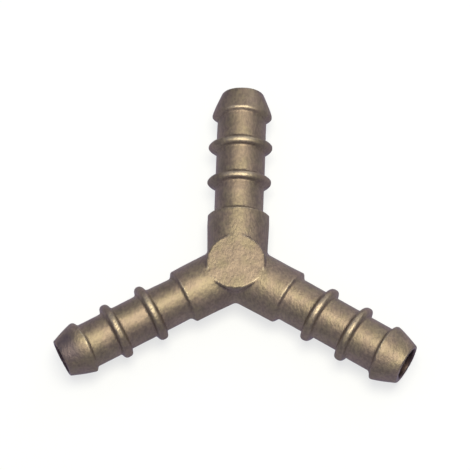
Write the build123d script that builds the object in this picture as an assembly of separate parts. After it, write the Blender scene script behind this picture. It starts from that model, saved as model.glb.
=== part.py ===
from build123d import *
from math import hypot, radians, sin, tan
import os

os.makedirs("parts", exist_ok=True)

# Y hose barb connector: one forged and drilled brass piece. Lengths in mm, angles in degrees.
# The origin is where the three bore axes meet. The axes lie in the XY plane, which is also
# the parting plane of the forging, and +Z is up.

arm_count = 3
first_arm_angle = 90.0

# hub, the thick root of every arm, wider along the parting plane than it is high
hub_width = 9.1
hub_height = 6.8
hub_length = 8.95
shoulder_angle = 45.0
shoulder_bevel = 0.12
crotch_fillet = 0.4

# round flat boss on both faces, just under the crests of the arms, a little smaller underneath
boss_diameter = 8.6
lower_boss_diameter = 7.6
boss_drop = 0.05
boss_edge = 0.12
boss_fillet = 0.25

# neck of the barb, the length that the hose closes on
neck_width = 7.2
neck_height = 6.1

# ribs on every barb: from the hub's corner to the first, between them, and on to the head
rib_count = 2
first_rib_gap = 5.45
rib_pitch = 5.85
last_rib_gap = 5.0
rib_width = 9.45
rib_height = 7.2
rib_flank_angle = 70.0
rib_crest = 0.62
rib_bevel = 0.2

# head of the barb: a back corner, a short land and a long cone, steeper at the sides than on top
head_width = 8.9
head_height = 6.8
head_back_angle = 60.0
land_length = 0.6
cone_length = 3.45
cone_flattening = 0.35
tip_width = 6.2
tip_height = 5.62
tip_bevel = 0.16

# drilled bores
bore_diameter = 4.7
bore_mouth_chamfer = 0.12
drill_point_angle = 118.0

arm_angle = 360.0 / arm_count
boss_height = hub_height - 2.0 * boss_drop
rib_centres = [hub_length + first_rib_gap + i * rib_pitch for i in range(rib_count)]
head_back = rib_centres[-1] + last_rib_gap
cone_start = head_back + land_length
arm_length = cone_start + cone_length
near = 0.01


def die_offset(width, height):
    """Depth of each die half's own axis beyond the parting plane, for an oval of this size."""
    return (width * width / height - height) / 4.0


def die_radius(width, height):
    """Radius of the arc that each die half cuts for an oval of this size."""
    return height / 2.0 + die_offset(width, height)


def run_for(rise, angle):
    return rise / tan(radians(angle))


def oval(profile, offset):
    """A turned shape lowered and raised by the offset, and what the two have in common."""
    turned = revolve(profile, axis=Axis.X)
    return (Pos(0, 0, -offset) * turned) & (Pos(0, 0, offset) * turned)


def profile_face(points):
    with BuildSketch() as face:
        with BuildLine():
            Polyline(*points, close=True)
        make_face()
    return face.sketch


def hub_arm():
    """Root of an arm, ending in a bevel of half the shoulder's slope and then the shoulder."""
    radius = die_radius(hub_width, hub_height)
    foot = neck_height / 2.0 - 1.0
    bevel_start = hub_length - run_for(shoulder_bevel, shoulder_angle / 2.0) / 2.0
    bevel_end = hub_length + run_for(shoulder_bevel, shoulder_angle / 2.0) / 2.0
    end = bevel_end + run_for(radius - shoulder_bevel - foot, shoulder_angle)
    points = [(0, 0), (0, radius), (bevel_start, radius), (bevel_end, radius - shoulder_bevel)]
    points = points + [(end, foot), (end, 0)]
    return oval(profile_face(points), die_offset(hub_width, hub_height))


def neck():
    radius = die_radius(neck_width, neck_height)
    points = [(hub_length, 0), (hub_length, radius), (cone_start, radius), (cone_start, 0)]
    return oval(profile_face(points), die_offset(neck_width, neck_height))


def rib(centre):
    """Two sloping flanks, with a bevel of half their slope on each side of a narrow crest."""
    radius = die_radius(rib_width, rib_height)
    half_crest = rib_crest / 2.0
    shoulder = radius - rib_bevel
    half_bevel = half_crest + run_for(rib_bevel, rib_flank_angle / 2.0)
    foot = neck_height / 2.0 - 1.0
    half_base = half_bevel + run_for(shoulder - foot, rib_flank_angle)
    points = [(centre - half_base, 0), (centre - half_base, foot), (centre - half_bevel, shoulder)]
    points = points + [(centre - half_crest, radius), (centre + half_crest, radius)]
    points = points + [(centre + half_bevel, shoulder), (centre + half_base, foot), (centre + half_base, 0)]
    return oval(profile_face(points), die_offset(rib_width, rib_height))


def head():
    radius = die_radius(head_width, head_height)
    foot = neck_height / 2.0 - 1.0
    back = head_back - run_for(radius - foot, head_back_angle)
    end = radius - (head_height - tip_height) / 2.0
    points = [(back, 0), (back, foot), (head_back, radius), (cone_start, radius)]
    points = points + [(arm_length, end), (arm_length, 0)]
    land = oval(profile_face(points), die_offset(head_width, head_height))
    start_radius = hypot(head_width / 2.0, cone_flattening)
    tip_radius = hypot(tip_width / 2.0, cone_flattening)
    slope = (start_radius - tip_radius) / cone_length
    wide_end = tip_radius + slope * arm_length
    bevel_radius = tip_radius + slope * tip_bevel
    points = [(0, 0), (0, wide_end), (arm_length - tip_bevel, bevel_radius)]
    points = points + [(arm_length, tip_radius - tip_bevel), (arm_length, 0)]
    return land & oval(profile_face(points), cone_flattening)


def boss(diameter, side):
    """Half of the boss pair, from the parting plane up or down to its own bevelled rim."""
    body = Pos(0, 0, side * boss_height / 4.0) * Cylinder(diameter / 2.0, boss_height / 2.0)
    rim = body.edges().filter_by(GeomType.CIRCLE).sort_by(Axis.Z)
    return chamfer(rim[-1] if side > 0 else rim[0], boss_edge)


def bore():
    radius = bore_diameter / 2.0
    mouth = radius + bore_mouth_chamfer
    point = run_for(radius, drill_point_angle / 2.0)
    past = arm_length + 1.0
    points = [(-point, 0), (0, radius), (arm_length - bore_mouth_chamfer, radius)]
    points = points + [(arm_length, mouth), (past, mouth), (past, 0)]
    return revolve(profile_face(points), axis=Axis.X)


def arm():
    body = hub_arm() + neck() + head()
    for centre in rib_centres:
        body = body + rib(centre)
    return body


def crotch_edges(body):
    """Edges that climb from the corner between two arms to the crest over the centre."""
    corner = hub_width / 2.0 / sin(radians(arm_angle / 2.0))
    found = []
    for edge in body.edges():
        ends = sorted((edge @ 0, edge @ 1), key=lambda p: abs(p.Z))
        low = abs(hypot(ends[0].X, ends[0].Y) - corner) < near and abs(ends[0].Z) < near
        if low and abs(ends[1].Z) > hub_height / 2.0 - near:
            found.append(edge)
    return found


def boss_seams(body, diameter, side):
    """Edges where the side of a boss meets the arms and the crotches."""
    rim = boss_height / 2.0 - boss_edge - near
    found = []
    for edge in body.edges():
        points = [edge @ t for t in (0.1, 0.5, 0.9)]
        on_side = all(abs(hypot(p.X, p.Y) - diameter / 2.0) < near for p in points)
        if on_side and all(near < side * p.Z < rim for p in points):
            found.append(edge)
    return found


single_arm = arm()
angles = [first_arm_angle + i * arm_angle for i in range(arm_count)]

body = Rot(0, 0, angles[0]) * single_arm
for angle in angles[1:]:
    body = body + Rot(0, 0, angle) * single_arm
body = body.fillet(crotch_fillet, crotch_edges(body))
for diameter, side in ((boss_diameter, 1), (lower_boss_diameter, -1)):
    body = body + boss(diameter, side)
    body = body.fillet(boss_fillet, boss_seams(body, diameter, side))
for angle in angles:
    body = body - Rot(0, 0, angle) * bore()

export_step(body, "parts/y_connector_body.step")
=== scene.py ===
import bpy
import math
import numpy as np
from mathutils import Matrix, Vector, noise


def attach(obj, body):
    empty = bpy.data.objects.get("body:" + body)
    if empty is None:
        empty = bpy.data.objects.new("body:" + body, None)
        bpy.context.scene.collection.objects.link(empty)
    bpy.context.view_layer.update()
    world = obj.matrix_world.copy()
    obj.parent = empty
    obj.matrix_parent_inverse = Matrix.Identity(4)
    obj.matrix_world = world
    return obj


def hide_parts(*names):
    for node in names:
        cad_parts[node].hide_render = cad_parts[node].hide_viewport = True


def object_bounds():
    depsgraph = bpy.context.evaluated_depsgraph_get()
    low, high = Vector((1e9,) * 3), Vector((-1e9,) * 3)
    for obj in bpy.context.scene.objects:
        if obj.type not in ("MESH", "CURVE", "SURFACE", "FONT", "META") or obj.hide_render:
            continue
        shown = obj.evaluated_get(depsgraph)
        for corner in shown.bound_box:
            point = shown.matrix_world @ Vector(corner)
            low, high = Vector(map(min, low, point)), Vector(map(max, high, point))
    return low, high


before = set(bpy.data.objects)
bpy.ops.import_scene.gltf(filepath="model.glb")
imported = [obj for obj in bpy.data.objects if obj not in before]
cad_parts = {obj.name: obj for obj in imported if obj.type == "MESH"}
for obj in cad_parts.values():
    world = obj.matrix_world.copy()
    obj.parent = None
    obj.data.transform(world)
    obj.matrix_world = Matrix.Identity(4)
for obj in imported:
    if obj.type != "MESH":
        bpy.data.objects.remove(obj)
cad_box = [list(c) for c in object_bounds()]

MM = 0.001
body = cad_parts["y_connector_body"]

# The photograph's view, worked out from the outline of the three arms.
IMAGE = 470.0
PX_PER_MM = 6.702
ELEVATION, AZIMUTH, ROLL = math.radians(66.07), math.radians(7.92), math.radians(-6.63)
FOCAL_PX = 1.0 / 0.00035
ORIGIN_PX = (236.78, 270.02)
SENSOR = 36.0
CLIP = (0.01, 20.0)

# The body's sizes in mm, as in the CAD body. A section is its width, its height and how far
# its sharp parting edge is dulled. Ribs, head and boss have a little more, for their rounding.
NECK = (7.2, 6.1, 0.0)
HUB = (9.1, 6.8, 0.07)
RIB = (9.47, 7.22, 0.14)
HEAD = (8.93, 6.83, 0.1)
HUB_LENGTH, NECK_END = 8.9, 25.85
RIB_CENTRES, RIB_HALF = (14.4, 20.25), 0.53
HEAD_BACK, LAND_START, ARM_LENGTH = 25.25, 25.9, 29.3
HEAD_TOP, HEAD_SIDE = 3.4, 4.5
CONE_RADIUS, TIP_RADIUS, CONE_LENGTH, CONE_FLATTENING = 4.4638, 3.1197, 3.45, 0.35
BOSS_RADIUS, LOWER_BOSS_RADIUS, BOSS_TOP = 4.42, 3.92, 3.35
BORE_RADIUS = 2.35
DRILL_SLOPE, DRILL_SCALE = 1.66, 1.94

# Sloping faces: the rise per mm along the arm, and the factor that turns it into a distance.
SHOULDER = (1.43, 0.573)
RIB_TAN = math.tan(math.radians(70.0))
RIB_FLANK = (RIB_TAN, 1.0 / math.hypot(1.0, RIB_TAN))
HEAD_REAR = (1.732, 0.5)
NOSE_TOP = (0.215, 0.98)

# How softly faces meet: where one form stands on another, and over the edges of a form.
NECK_BLEND, HEAD_BLEND, BOSS_BLEND = 0.1, 0.08, 0.08
SHOULDER_ROUND, RIB_ROUND, BOSS_ROUND, MOUTH_ROUND = 0.12, 0.45, 0.1, 0.14
REAR_ROUND, NOSE_ROUND, CONE_ROUND, TIP_ROUND = 0.24, 0.06, 0.14, 0.16
# The arms meet sharply at the centre and softly in the crotches.
CENTRE_BLEND, CROTCH_BLEND, CROTCH = 0.04, 0.4, (3.2, 4.6)

ARM_ANGLES = [math.radians(a) for a in (90.0, 210.0, 330.0)]
LEFT = 1
# Small differences between the forged arms. The place of the head's rear: at the sides, what
# the crest adds, and aslant.
HEADS = ((-0.08, 0.36, 0.07), (0.2, -0.45, 0.0), (0.27, -0.39, -0.17))
# The skew of the ribs, which ends before the head, and how much longer the tip is.
SKEWS, SKEW_END = (0.0, 0.0, 0.025), (22.5, 25.0)
LONGER, GROWTH_START, GROWTH_RUN, GROWTH_MOST = (0.0, -0.03, 0.11), 25.5, 3.8, 1.1
# The sideways shift and the width of the arms at stations along them.
STATIONS = (3.0, 7.0, 10.0, 13.0, 14.4, 15.8, 19.0, 20.25, 21.5, 24.7, 26.0, 29.3)
SHIFTS = (
    (0.0, 0.02, 0.02, 0.02, 0.12, 0.0, 0.0, 0.1, 0.02, 0.01, 0.01, 0.01),
    (0.0, -0.05, 0.0, -0.03, -0.1, 0.0, 0.0, -0.08, 0.03, 0.03, -0.11, -0.05),
    (0.0, 0.05, 0.11, 0.09, 0.1, 0.1, 0.08, 0.04, -0.09, -0.11, -0.24, -0.2),
)
WIDTHS = (
    (1.0, 1.028, 1.024, 1.028, 1.03, 1.033, 1.033, 1.033, 1.036, 1.034, 1.022, 1.032),
    (1.0, 0.985, 0.973, 0.99, 1.0, 0.988, 0.986, 0.98, 0.995, 0.995, 0.958, 0.945),
    (1.0, 0.99, 1.0, 1.0, 0.99, 0.985, 0.985, 1.005, 1.026, 1.028, 1.034, 1.03),
)
# Where along an arm the differences set in, and where along the left one the painted shade on
# its nose does.
ARM_ROOT = (4.0, 6.0)
LEFT_NOSE_SHADE = (25.9, 27.4)

# The mesh: its cells, and how its points are drawn to the form.
VOXEL, QUICK_VOXEL = 0.225, 0.4
ROUNDS, PROBE, LONGEST_MOVE, LEAST_SLOPE = 5, 0.02, 0.15, 0.2
BEND_PROBE = 0.1
# Distances from the bores' walls: where the unevenness sets in, and the arms' differences.
UNEVEN_FROM, OUTSIDE_FROM = (0.2, 0.6), (0.1, 0.4)
# The unevenness of the forging: its height in mm, and its waves per mm. The boss has less.
UNEVEN, BROAD_WAVES = 0.014, 0.55
CLOSE_WAVES, CLOSE_SHARE, CLOSE_OFFSET = 1.4, 0.6, Vector((7, 3, 1))
CALM_RADIUS, CALM_RIM, CALM_SHARE = 4.5, 0.6, 0.75

# The brass. A noise is its scale per metre, its detail and its roughness.
GRAIN, DENTS, FINE = (2700.0, 2.0, 0.55), (1100.0, 2.0, 0.5), (6500.0, 2.0, 0.5)
PATCHES, TINTS = (320.0, 3.0, 0.55), (420.0, 2.0, 0.5)
GRAIN_STRETCH = (1.0, 0.55, 1.0)
DARK_BRASS, LIGHT_BRASS, PATCH_RANGE = (0.193, 0.148, 0.096), (0.239, 0.184, 0.118), (0.3, 0.7)
COOL, WARM, TINT_RANGE = (1.02, 0.99, 1.045), (0.98, 1.005, 0.955), (0.35, 0.65)
PIT_BROWN, PIT_SHARE, PIT_RANGE = (0.08, 0.06, 0.05), 0.33, (0.36, 0.6)
# The layers over it: colour, share, and where they set in and are full. Bend is the surface's
# curvature per mm, facing is how far it looks straight up or down.
# Worn crests, lighter and smoother; the lighter colour is also a painted highlight on crests
# that face up or down.
WORN_AND_HIGHLIGHT_BRASS, WORN_AND_HIGHLIGHT_SHARE = (0.42, 0.35, 0.24), 0.42
CREST_BEND, CREST_FACING = (0.3, 1.8), (0.82, 0.985)
SHARP_BEND, SHARP_LOSS = (2.5, 6.0), 0.75
# Painted shade in the concave corners, such as the feet of the ribs.
CORNER_SHADE, CORNER_SHARE, CORNER_BEND = (0.12, 0.075, 0.05), 0.35, (-1.0, -6.0)
# Painted shade on the left arm's nose where it faces up or down.
NOSE_SHADE, NOSE_SHARE, NOSE_FACING = (0.1, 0.075, 0.075), 0.85, (0.7, 0.94)
# Painted shade in and around the bores, set by the distance from their walls.
BORE_SHADE, BORE_SHARE, BORE_DEPTH = (0.075, 0.045, 0.042), 0.85, (0.3, 0.08)
# Its gloss.
METALLIC, SPECULAR_TINT = 0.9, (0.6, 0.55, 0.6)
ROUGHNESS, GRAIN_ROUGHNESS, RUBBED_GLOSS = 0.46, 0.16, 0.07
COAT, COAT_ROUGHNESS = 0.12, 0.4
# Its bump, and what the finer and the coarser noise add to the grain. The top arm has less of
# it, from the first to the second distance in metres.
BUMP, FINE_SHARE, DENT_SHARE = 0.062 * MM, 0.2, 0.5
CALM_ARM, CALM_ARM_LOSS = (0.003, 0.012), 0.3

# The floor glows white for the camera and bluish in the brass.
FLOOR_SIZE, FLOOR_GREY, FLOOR_GLOW = 6.0, (0.18, 0.18, 0.177), 0.715
FLOOR_WHITE, FLOOR_MIRRORED = (1.0, 1.0, 0.98), (0.86, 0.9, 1.5)
# The sky is white for the camera. For the part it is bluish, and brighter overhead.
PAGE_WHITE = (1.0, 1.0, 0.985)
LOW_SKY, HIGH_SKY, SKY_RANGE = (0.72, 0.72, 1.5), (0.84, 0.95, 1.46), (0.0, 0.6)
SKY_LEVEL, LOW_SHARE, HIGH_SHARE = 0.39, 0.4, 0.9


def make_camera():
    distance = FOCAL_PX / PX_PER_MM * MM
    flat = math.cos(ELEVATION)
    back = Vector((math.sin(AZIMUTH) * flat, -math.cos(AZIMUTH) * flat, math.sin(ELEVATION)))
    level = Vector((math.cos(AZIMUTH), math.sin(AZIMUTH), 0.0))
    steep = back.cross(level)
    right = level * math.cos(ROLL) + steep * math.sin(ROLL)
    up = steep * math.cos(ROLL) - level * math.sin(ROLL)
    aim = right * (IMAGE / 2 - ORIGIN_PX[0]) + up * (ORIGIN_PX[1] - IMAGE / 2) - back * FOCAL_PX
    axis = -aim.normalized()
    across = up.cross(axis).normalized()
    data = bpy.data.cameras.new("camera")
    data.sensor_width = SENSOR
    data.lens = SENSOR * FOCAL_PX / IMAGE
    data.clip_start, data.clip_end = CLIP
    camera = bpy.data.objects.new("camera", data)
    bpy.context.collection.objects.link(camera)
    place = Matrix((across, axis.cross(across), axis)).transposed().to_4x4()
    place.translation = back * distance
    camera.matrix_world = place
    bpy.context.scene.camera = camera
    return right, up, back


class Nodes:
    """Short calls for a node tree."""

    def __init__(self, tree):
        self.tree = tree

    def new(self, kind, **values):
        node = self.tree.nodes.new(kind)
        for name, value in values.items():
            setattr(node, name, value)
        return node

    def link(self, a, b):
        self.tree.links.new(a, b)

    def put(self, value, socket):
        if hasattr(value, "is_linked"):
            self.link(value, socket)
        elif isinstance(value, tuple):
            socket.default_value = value + (1.0,)
        else:
            socket.default_value = value

    def math(self, operation, a, b=0.0, c=0.0):
        node = self.new("ShaderNodeMath", operation=operation)
        for socket, value in zip(node.inputs, (a, b, c)):
            self.put(value, socket)
        return node.outputs[0]

    def noise(self, where, scale, detail, rough):
        node = self.new("ShaderNodeTexNoise")
        self.link(where, node.inputs["Vector"])
        node.inputs["Scale"].default_value = scale
        node.inputs["Detail"].default_value = detail
        node.inputs["Roughness"].default_value = rough
        return node.outputs["Fac"]

    def ramp(self, value, low, high):
        node = self.new("ShaderNodeMapRange", interpolation_type="SMOOTHSTEP")
        self.link(value, node.inputs["Value"])
        node.inputs["From Min"].default_value = low
        node.inputs["From Max"].default_value = high
        return node.outputs["Result"]

    def mix(self, factor, a, b, blend="MIX"):
        node = self.new("ShaderNodeMix", data_type="RGBA", blend_type=blend)
        self.put(factor, node.inputs[0])
        self.put(a, node.inputs[6])
        self.put(b, node.inputs[7])
        return node.outputs[2]

    def attribute(self, name):
        return self.new("ShaderNodeAttribute", attribute_name=name).outputs["Fac"]

    def place(self, kind):
        return self.new("ShaderNodeTexCoord").outputs[kind]

    def split(self, vector):
        node = self.new("ShaderNodeSeparateXYZ")
        self.link(vector, node.inputs[0])
        return node.outputs


def smooth_max(a, b, k):
    h = np.clip(0.5 + 0.5 * (a - b) / k, 0.0, 1.0)
    return b + (a - b) * h + k * h * (1.0 - h)


def smooth_min(a, b, k):
    return -smooth_max(-a, -b, k)


def step(value, low, high):
    t = np.clip((value - low) / (high - low), 0.0, 1.0)
    return t * t * (3.0 - 2.0 * t)


def along_across(x, y, angle):
    """Distances along one arm and across it."""
    return x * math.cos(angle) + y * math.sin(angle), y * math.cos(angle) - x * math.sin(angle)


def growth(along, i):
    """How far a longer tip has moved out, at a distance along arm i."""
    return LONGER[i] * np.clip((along - GROWTH_START) / GROWTH_RUN, 0.0, GROWTH_MOST)


def die_arcs(y, z, width, height, dulled):
    """Height above the two die arcs of an oval section, with its sharp parting edge dulled."""
    offset = (width * width / height - height) / 4.0
    return np.hypot(y, np.hypot(z, dulled) + offset) - height / 2.0 - offset


def sloped(top, run, face):
    """Height above a face that slopes away from the top of a section."""
    slope, scale = face
    return (top + run * slope) * scale


def arm_field(x, y, z, head):
    """Below zero inside one arm that lies along +x, in mm."""
    neck = np.maximum(die_arcs(y, z, *NECK), x - NECK_END)
    top = die_arcs(y, z, *HUB)
    hub = smooth_max(top, sloped(top, x - HUB_LENGTH, SHOULDER), SHOULDER_ROUND)
    field = smooth_min(neck, hub, NECK_BLEND)

    top = die_arcs(y, z, *RIB)
    for centre in RIB_CENTRES:
        flank = sloped(top, np.abs(x - centre) - RIB_HALF, RIB_FLANK)
        field = smooth_min(field, smooth_max(top, flank, RIB_ROUND), NECK_BLEND)

    top = die_arcs(y, z, *HEAD)
    sides, crest, aslant = head
    rear = HEAD_BACK + sides + crest * np.clip(np.abs(z) / HEAD_TOP, 0.0, 1.0) ** 2
    rear = rear + aslant * np.clip(y / HEAD_SIDE, -1.0, 1.0)
    land = smooth_max(top, sloped(top, rear - x, HEAD_REAR), REAR_ROUND)
    land = smooth_max(land, sloped(top, x - LAND_START, NOSE_TOP), NOSE_ROUND)
    slope = (CONE_RADIUS - TIP_RADIUS) / CONE_LENGTH
    cone = np.hypot(y, np.abs(z) + CONE_FLATTENING) - TIP_RADIUS - slope * (ARM_LENGTH - x)
    nose = smooth_max(land, cone / math.hypot(1.0, slope), CONE_ROUND)
    nose = smooth_max(nose, x - ARM_LENGTH, TIP_ROUND)
    return smooth_min(field, nose, HEAD_BLEND)


def body_field(p):
    """Below zero inside the body, and below zero inside the bores, at points in mm."""
    x, y, z = p[:, 0], p[:, 1], p[:, 2]
    outside, bores = None, None
    radius = np.hypot(x, y)
    blend = CENTRE_BLEND + CROTCH_BLEND * step(radius, *CROTCH)
    for i, angle in enumerate(ARM_ANGLES):
        along, across = along_across(x, y, angle)
        side = across - np.interp(along, STATIONS, SHIFTS[i])
        side = side / np.interp(along, STATIONS, WIDTHS[i])
        skew = SKEWS[i] * (1.0 - step(along, *SKEW_END))
        reach = along - skew * across - growth(along, i)
        arm = np.maximum(arm_field(reach, side, z, HEADS[i]), -along)
        outside = arm if outside is None else smooth_min(outside, arm, blend)
        wall = np.hypot(across, z) - BORE_RADIUS
        hole = np.maximum(wall, (wall - along * DRILL_SLOPE) / DRILL_SCALE)
        bores = hole if bores is None else np.minimum(bores, hole)
    rim = radius - np.where(z > 0.0, BOSS_RADIUS, LOWER_BOSS_RADIUS)
    disc = smooth_max(rim, np.abs(z) - BOSS_TOP, BOSS_ROUND)
    outside = smooth_min(outside, disc, BOSS_BLEND)
    return smooth_max(outside, -bores, MOUTH_ROUND), bores


def probes(p, distance):
    """The body's field ahead of the points and behind them, along x, y and z."""
    for i in range(3):
        move = np.zeros(3)
        move[i] = distance
        yield body_field(p + move)[0], body_field(p - move)[0]


def unevenness(p):
    """Slow hollows and swellings of a forged face, in mm, calmer on the boss."""
    slow = np.array([
        noise.noise(Vector(q) * BROAD_WAVES)
        + CLOSE_SHARE * noise.noise(Vector(q) * CLOSE_WAVES + CLOSE_OFFSET)
        for q in p
    ])
    inside = CALM_RADIUS - np.hypot(p[:, 0], p[:, 1])
    return UNEVEN * slow * (1.0 - CALM_SHARE * step(inside, 0.0, CALM_RIM))


def even_mesh():
    """The CAD body's mesh in mm, in even cells."""
    rough = bpy.data.objects.new("rough", body.data.copy())
    bpy.context.collection.objects.link(rough)
    rough.data.transform(Matrix.Scale(1.0 / MM, 4))
    cut = rough.modifiers.new("remesh", "REMESH")
    cut.mode = "VOXEL"
    cut.voxel_size = VOXEL
    cut_object = rough.evaluated_get(bpy.context.evaluated_depsgraph_get())
    mesh = bpy.data.meshes.new_from_object(cut_object)
    bpy.data.objects.remove(rough)
    return mesh


def dense_body():
    """The CAD body's form again, finer, with rounded crests and soft feet."""
    mesh = even_mesh()
    p = np.empty(len(mesh.vertices) * 3)
    mesh.vertices.foreach_get("co", p)
    p = p.reshape(-1, 3)
    depth = body_field(p)[1]
    lift = unevenness(p) * step(depth, *UNEVEN_FROM)

    # Each arm's points first go along with its differences, sideways only outside the bores.
    for i, angle in enumerate(ARM_ANGLES):
        along, across = along_across(p[:, 0], p[:, 1], angle)
        wider = np.interp(along, STATIONS, WIDTHS[i]) - 1.0
        side = across * wider + np.interp(along, STATIONS, SHIFTS[i])
        side *= step(along, *ARM_ROOT) * step(depth, *OUTSIDE_FROM)
        out = growth(along, i)
        p[:, 0] += out * math.cos(angle) - side * math.sin(angle)
        p[:, 1] += out * math.sin(angle) + side * math.cos(angle)

    for _ in range(ROUNDS):
        value = body_field(p)[0] - lift
        slope = np.stack([(a - b) / (2.0 * PROBE) for a, b in probes(p, PROBE)], axis=1)
        size = np.maximum((slope ** 2).sum(axis=1), LEAST_SLOPE)
        p -= slope * np.clip(value / size, -LONGEST_MOVE, LONGEST_MOVE)[:, None]

    centre, depth = body_field(p)
    bend = np.zeros(len(p))
    for a, b in probes(p, BEND_PROBE):
        bend += (a + b - 2.0 * centre) / BEND_PROBE ** 2
    # Marks for the material; the last says where the left nose gets painted shade.
    left = along_across(p[:, 0], p[:, 1], ARM_ANGLES[LEFT])[0]
    marks = {"bend": bend, "depth": depth, "nose_shade_mark": step(left, *LEFT_NOSE_SHADE)}
    for name, values in marks.items():
        mesh.attributes.new(name, "FLOAT", "POINT").data.foreach_set("value", values)
    mesh.vertices.foreach_set("co", (p * MM).ravel())
    mesh.update()
    for face in mesh.polygons:
        face.use_smooth = True
    made = bpy.data.objects.new("connector", mesh)
    bpy.context.collection.objects.link(made)
    triangles = sum(len(f.vertices) - 2 for f in mesh.polygons)
    print("dense body", len(mesh.vertices), "vertices", triangles, "triangles")
    return made


def forged_brass():
    """Worn brass: lighter on its worn crests, which is partly a painted highlight; painted
    shade in its corners, on the left nose and in its bores.
    """
    material = bpy.data.materials.new("forged_brass")
    material.use_nodes = True
    n = Nodes(material.node_tree)
    shader = material.node_tree.nodes["Principled BSDF"].inputs
    where = n.place("Object")
    drawn = n.new("ShaderNodeMapping")
    drawn.inputs["Scale"].default_value = GRAIN_STRETCH
    n.link(where, drawn.inputs["Vector"])
    grain = n.noise(drawn.outputs[0], *GRAIN)

    tone = n.mix(n.ramp(n.noise(where, *PATCHES), *PATCH_RANGE), DARK_BRASS, LIGHT_BRASS)
    tint = n.mix(n.ramp(n.noise(where, *TINTS), *TINT_RANGE), COOL, WARM)
    tone = n.mix(1.0, tone, tint, "MULTIPLY")
    pitted = n.mix(PIT_SHARE, tone, PIT_BROWN)
    tone = n.mix(n.ramp(grain, *PIT_RANGE), pitted, tone)

    bend = n.attribute("bend")
    facing = n.math("ABSOLUTE", n.split(n.place("Normal"))[2])
    # The mask of worn crests, which also carries a painted highlight.
    crest = n.math("MULTIPLY", n.ramp(bend, *CREST_BEND), n.ramp(facing, *CREST_FACING))
    blunt = n.math("MULTIPLY_ADD", n.ramp(bend, *SHARP_BEND), -SHARP_LOSS, 1.0)
    worn_and_highlight = n.math("MULTIPLY", crest, blunt)
    # Where the left nose gets its painted shade.
    nose = n.math("MULTIPLY", n.attribute("nose_shade_mark"), n.ramp(facing, *NOSE_FACING))
    layers = (
        # Worn crests, partly a painted highlight.
        (worn_and_highlight, WORN_AND_HIGHLIGHT_SHARE, WORN_AND_HIGHLIGHT_BRASS),
        # Painted shade in concave corners.
        (n.ramp(bend, *CORNER_BEND), CORNER_SHARE, CORNER_SHADE),
        # Painted shade on the left nose.
        (nose, NOSE_SHARE, NOSE_SHADE),
        # Painted shade in and around the bores.
        (n.ramp(n.attribute("depth"), *BORE_DEPTH), BORE_SHARE, BORE_SHADE),
    )
    for mask, share, colour in layers:
        tone = n.mix(n.math("MULTIPLY", mask, share), tone, colour)
    n.link(tone, shader["Base Color"])

    rough = n.math("MULTIPLY_ADD", grain, GRAIN_ROUGHNESS, ROUGHNESS)
    n.link(n.math("MULTIPLY_ADD", worn_and_highlight, -RUBBED_GLOSS, rough), shader["Roughness"])
    n.put(METALLIC, shader["Metallic"])
    n.put(SPECULAR_TINT, shader["Specular Tint"])
    n.put(COAT, shader["Coat Weight"])
    n.put(COAT_ROUGHNESS, shader["Coat Roughness"])

    bump = n.new("ShaderNodeBump")
    bump.inputs["Distance"].default_value = BUMP
    calm = n.ramp(n.split(where)[1], *CALM_ARM)
    n.link(n.math("MULTIPLY_ADD", calm, -CALM_ARM_LOSS, 1.0), bump.inputs["Strength"])
    height = n.math("MULTIPLY_ADD", n.noise(where, *FINE), FINE_SHARE, grain)
    height = n.math("MULTIPLY_ADD", n.noise(where, *DENTS), DENT_SHARE, height)
    n.link(height, bump.inputs["Height"])
    n.link(bump.outputs[0], shader["Normal"])
    return material


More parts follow.
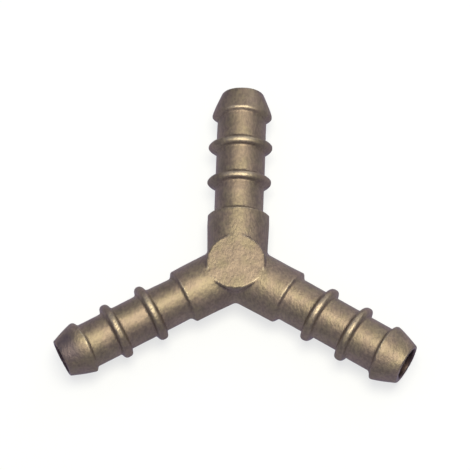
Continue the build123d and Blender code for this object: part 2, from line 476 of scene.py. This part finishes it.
def plain_floor():
    """A plain matt floor. Its glow makes the page white around the part's soft shadow."""
    bpy.ops.mesh.primitive_plane_add(size=FLOOR_SIZE, location=(0.0, 0.0, cad_box[0][2]))
    floor = bpy.context.object
    floor.name = "floor"
    material = bpy.data.materials.new("floor")
    material.use_nodes = True
    tree = material.node_tree
    tree.nodes.clear()
    n = Nodes(tree)
    path = n.new("ShaderNodeLightPath").outputs
    direct = path["Is Camera Ray"]
    seen = n.math("MAXIMUM", direct, path["Is Glossy Ray"])
    seen = n.math("MAXIMUM", seen, path["Is Transmission Ray"])
    matt = n.new("ShaderNodeBsdfDiffuse")
    n.put(FLOOR_GREY, matt.inputs["Color"])
    glow = n.new("ShaderNodeEmission")
    n.link(n.mix(direct, FLOOR_MIRRORED, FLOOR_WHITE), glow.inputs["Color"])
    n.link(n.math("MULTIPLY", seen, FLOOR_GLOW), glow.inputs["Strength"])
    both = n.new("ShaderNodeAddShader")
    n.link(matt.outputs[0], both.inputs[0])
    n.link(glow.outputs[0], both.inputs[1])
    out = n.new("ShaderNodeOutputMaterial")
    n.link(both.outputs[0], out.inputs["Surface"])
    floor.data.materials.append(material)


def area_light(name, where, size, power, colour):
    """A round lamp that looks at the part."""
    data = bpy.data.lights.new(name, "AREA")
    data.shape = "DISK"
    data.size = size
    data.energy = power
    data.color = colour
    lamp = bpy.data.objects.new(name, data)
    bpy.context.collection.objects.link(lamp)
    lamp.location = where
    lamp.rotation_euler = (-where).to_track_quat("-Z", "Y").to_euler()


def surroundings():
    """A bluish sky, brighter overhead, and a white page for the camera."""
    world = bpy.data.worlds.new("world")
    bpy.context.scene.world = world
    world.use_nodes = True
    n = Nodes(world.node_tree)
    shade = world.node_tree.nodes["Background"]
    direct = n.new("ShaderNodeLightPath").outputs["Is Camera Ray"]
    overhead = n.ramp(n.split(n.place("Generated"))[2], *SKY_RANGE)
    sky = n.mix(overhead, LOW_SKY, HIGH_SKY)
    n.link(n.mix(direct, sky, PAGE_WHITE), shade.inputs["Color"])
    glow = n.math("MULTIPLY_ADD", overhead, HIGH_SHARE * SKY_LEVEL, LOW_SHARE * SKY_LEVEL)
    n.link(n.math("MAXIMUM", glow, direct), shade.inputs["Strength"])


right, up, back = make_camera()
shown = dense_body()
shown.data.materials.clear()
shown.data.materials.append(forged_brass())
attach(shown, "root")
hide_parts("y_connector_body")
plain_floor()
surroundings()
key = back * 0.55 + up * 0.27 + right * 0.03
area_light("key", key, size=0.42, power=5.35, colour=(1.0, 0.965, 0.78))
fill = right * 0.3 + up * 0.6 + back * 0.05
area_light("fill", fill, size=0.35, power=0.8, colour=(0.96, 0.98, 1.0))

bpy.context.scene.view_settings.view_transform = "Standard"
